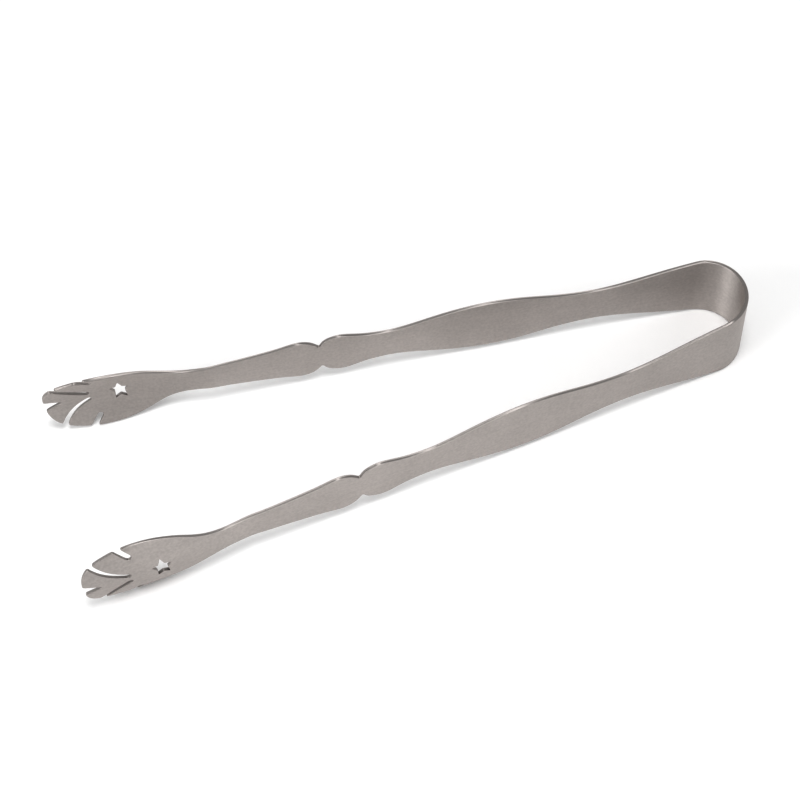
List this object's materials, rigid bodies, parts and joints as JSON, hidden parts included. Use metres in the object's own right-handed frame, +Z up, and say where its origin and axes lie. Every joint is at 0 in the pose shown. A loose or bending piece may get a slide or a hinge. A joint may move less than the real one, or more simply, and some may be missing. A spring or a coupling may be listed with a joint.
{
  "type": "ice tongs",
  "caption": "One-piece sprung metal tongs with a round bow, waisted and notched flat arms, and dished, slotted claw heads pierced by a small star.",
  "frame": {"origin": "middle of the bounding box, on the surface the tongs lie on", "axes": "+X from the claws to the bow along the centre line, +Y across the opening towards the rear arm, +Z up across the strip's width"},
  "size_m": [0.1782, 0.0546, 0.0218],
  "materials": {
    "steel": "satin"
  },
  "bodies": {
    "bow": {"bow_crown": "steel", "rear_bow_side": "steel", "front_bow_side": "steel"},
    "rear_arm": {"rear_grip": "steel", "rear_shank": "steel", "rear_neck": "steel", "rear_palm": "steel", "rear_outer_tine_upper": "steel", "rear_outer_tine_lower": "steel", "rear_inner_tine_upper": "steel", "rear_inner_tine_lower": "steel"},
    "front_arm": {"front_grip": "steel", "front_shank": "steel", "front_neck": "steel", "front_palm": "steel", "front_outer_tine_upper": "steel", "front_outer_tine_lower": "steel", "front_inner_tine_upper": "steel", "front_inner_tine_lower": "steel"}
  },
  "joints": [
    {"name": "rear_flex", "type": "hinge", "parent": "bow", "child": "rear_arm", "pos_m": [0.07865, 0, 0.0109], "axis": [0, 0, 1], "range_deg": [0, 8.4], "stiffness_Nm_per_rad": 2.5, "deforming": ["rear_bow_side"]},
    {"name": "front_flex", "type": "hinge", "parent": "bow", "child": "front_arm", "pos_m": [0.07865, 0, 0.0109], "axis": [0, 0, -1], "range_deg": [0, 8.4], "stiffness_Nm_per_rad": 2.5, "deforming": ["front_bow_side"]}
  ],
  "couplings": [
    {"joint": "front_flex", "follows": "rear_flex", "ratio": 1}
  ]
}
